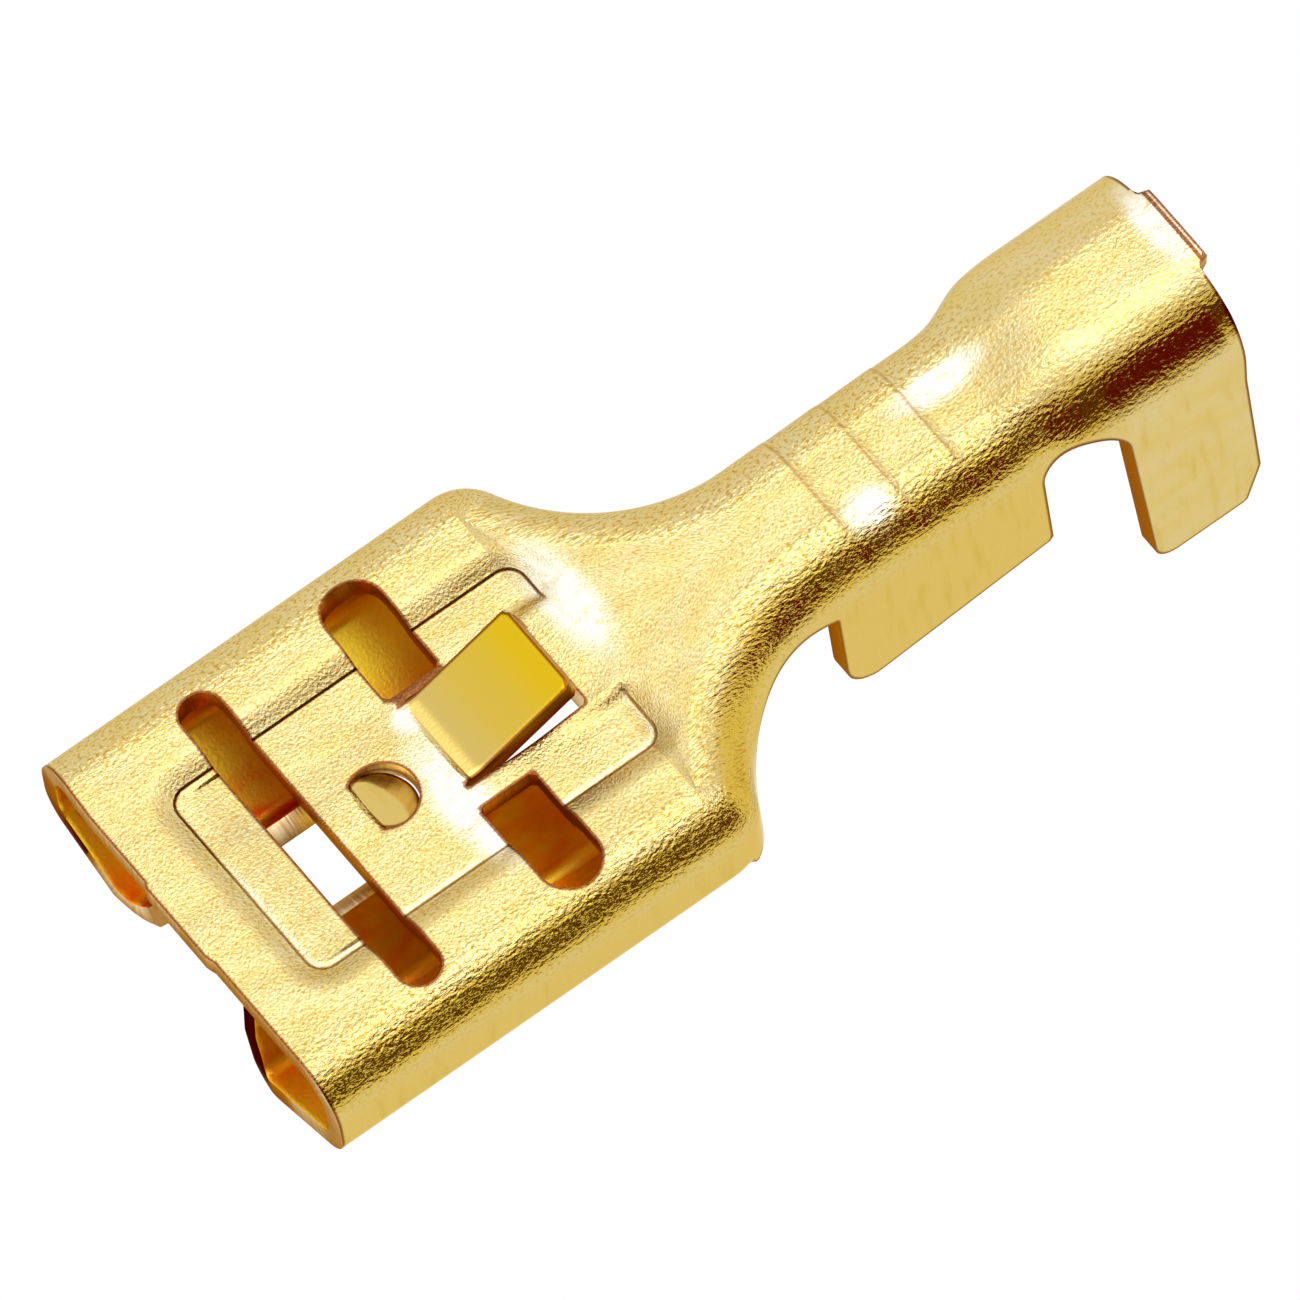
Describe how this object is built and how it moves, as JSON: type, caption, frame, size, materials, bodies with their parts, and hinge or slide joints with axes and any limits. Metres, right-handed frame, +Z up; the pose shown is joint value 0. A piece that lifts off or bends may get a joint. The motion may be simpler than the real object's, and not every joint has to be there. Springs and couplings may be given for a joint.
{
  "type": "female spade terminal",
  "caption": "Folded brass spade terminal: rolled tab socket with latch tongue and dimple, slotted back, and open wire and insulation crimp barrels.",
  "frame": {"origin": "middle of the terminal's length on the surface it rests on, in the middle of the socket's width", "axes": "+X from the tab mouth towards the wire end, along the surface; +Y to the left seen from above with the mouth in front; +Z up, out of the back"},
  "size_m": [0.0188, 0.0078, 0.0055],
  "materials": {
    "brass": "bright rolled sheet, pressed and grained on the outside of its bends"
  },
  "bodies": {
    "root": {"terminal": "brass"}
  },
  "joints": []
}
